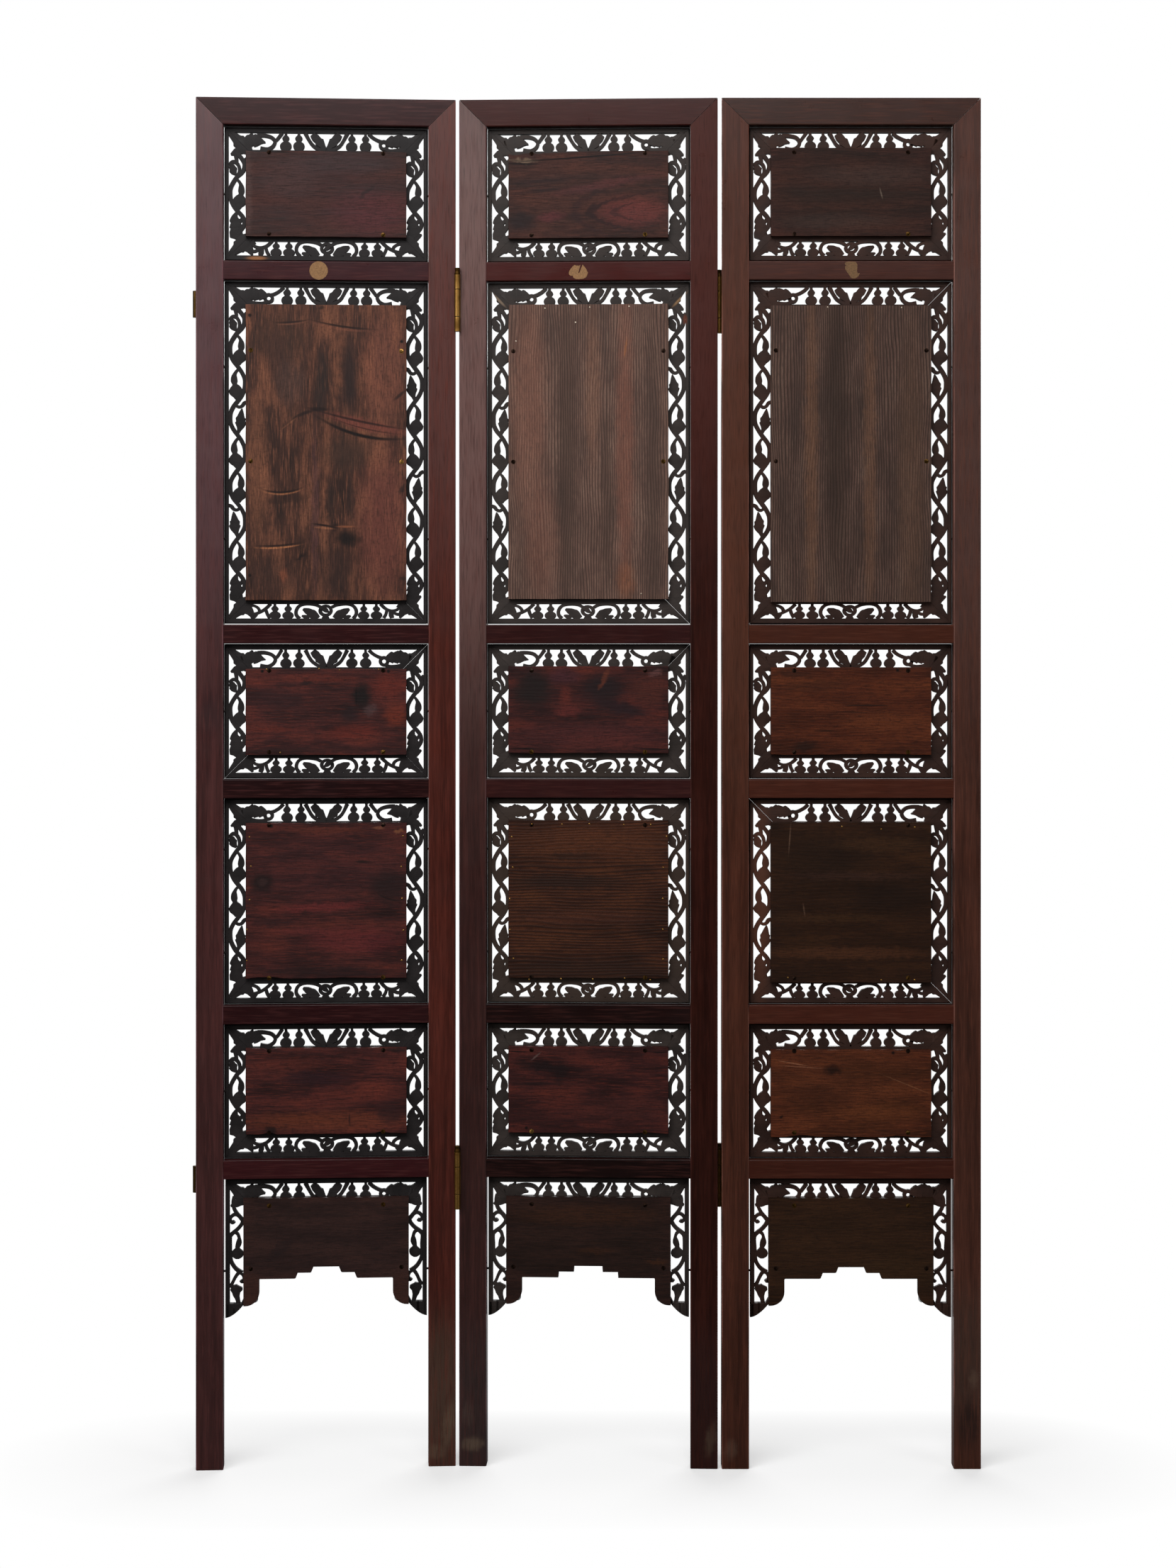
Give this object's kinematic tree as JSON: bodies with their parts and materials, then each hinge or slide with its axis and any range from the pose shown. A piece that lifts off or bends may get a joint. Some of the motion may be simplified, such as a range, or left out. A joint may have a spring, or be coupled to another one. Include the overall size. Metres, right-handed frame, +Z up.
{
  "type": "folding screen",
  "caption": "Standing folding screen of hinged hardwood leaves, each with porcelain plaques backed by boards in pierced gourd-and-vine surrounds.",
  "frame": {"origin": "on the floor under the middle of the whole screen, in its stored standing position", "axes": "+Z up, +X along the screen to the right as seen from its board-backed side, +Y through it towards the porcelain side"},
  "size_m": [1.0548, 0.051, 1.83],
  "materials": {
    "frame_hardwood": "polished red-brown hardwood",
    "surround_hardwood": "dark stained carved hardwood",
    "board_softwood": "old unplaned softwood, stained",
    "porcelain": "clear glaze over white porcelain",
    "hinge_brass": "aged brass",
    "screw_brass": "tarnished brass",
    "peg_bamboo": "dark bamboo"
  },
  "bodies": {
    "left_leaf": {"left_left_stile": "frame_hardwood", "left_right_stile": "frame_hardwood", "left_top_rail": "frame_hardwood", "left_cross_rails": "frame_hardwood", "left_upper_surround": "surround_hardwood", "left_large_surround": "surround_hardwood", "left_middle_surround": "surround_hardwood", "left_square_surround": "surround_hardwood", "left_lower_surround": "surround_hardwood", "left_apron_surround": "surround_hardwood", "left_small_boards": "board_softwood", "left_large_board": "board_softwood", "left_square_board": "board_softwood", "left_apron_board": "board_softwood", "left_plaques": "porcelain", "left_board_screws": "screw_brass", "left_pegs": "peg_bamboo", "left_hinge_plates": "hinge_brass", "left_hinge_screws": "screw_brass", "left_outer_hinge_halves": "hinge_brass"},
    "middle_leaf": {"middle_left_stile": "frame_hardwood", "middle_right_stile": "frame_hardwood", "middle_top_rail": "frame_hardwood", "middle_cross_rails": "frame_hardwood", "middle_upper_surround": "surround_hardwood", "middle_large_surround": "surround_hardwood", "middle_middle_surround": "surround_hardwood", "middle_square_surround": "surround_hardwood", "middle_lower_surround": "surround_hardwood", "middle_apron_surround": "surround_hardwood", "middle_small_boards": "board_softwood", "middle_large_board": "board_softwood", "middle_square_board": "board_softwood", "middle_apron_board": "board_softwood", "middle_plaques": "porcelain", "middle_board_screws": "screw_brass", "middle_pegs": "peg_bamboo", "middle_hinge_plates": "hinge_brass", "middle_hinge_screws": "screw_brass", "middle_hinge_pins": "hinge_brass"},
    "right_leaf": {"right_left_stile": "frame_hardwood", "right_right_stile": "frame_hardwood", "right_top_rail": "frame_hardwood", "right_cross_rails": "frame_hardwood", "right_upper_surround": "surround_hardwood", "right_large_surround": "surround_hardwood", "right_middle_surround": "surround_hardwood", "right_square_surround": "surround_hardwood", "right_lower_surround": "surround_hardwood", "right_apron_surround": "surround_hardwood", "right_small_boards": "board_softwood", "right_large_board": "board_softwood", "right_square_board": "board_softwood", "right_apron_board": "board_softwood", "right_plaques": "porcelain", "right_board_screws": "screw_brass", "right_pegs": "peg_bamboo", "right_hinge_plates": "hinge_brass", "right_hinge_screws": "screw_brass"}
  },
  "joints": [
    {"name": "left_fold", "type": "hinge", "parent": "middle_leaf", "child": "left_leaf", "pos_m": [-0.17183, -0.00627, 0.97], "axis": [0, 0, 1], "range_deg": [-6.35, 173.65]},
    {"name": "right_fold", "type": "hinge", "parent": "middle_leaf", "child": "right_leaf", "pos_m": [0.17942, 0.01385, 0.97], "axis": [0, 0, 1], "range_deg": [-2.55, 177.45]}
  ]
}
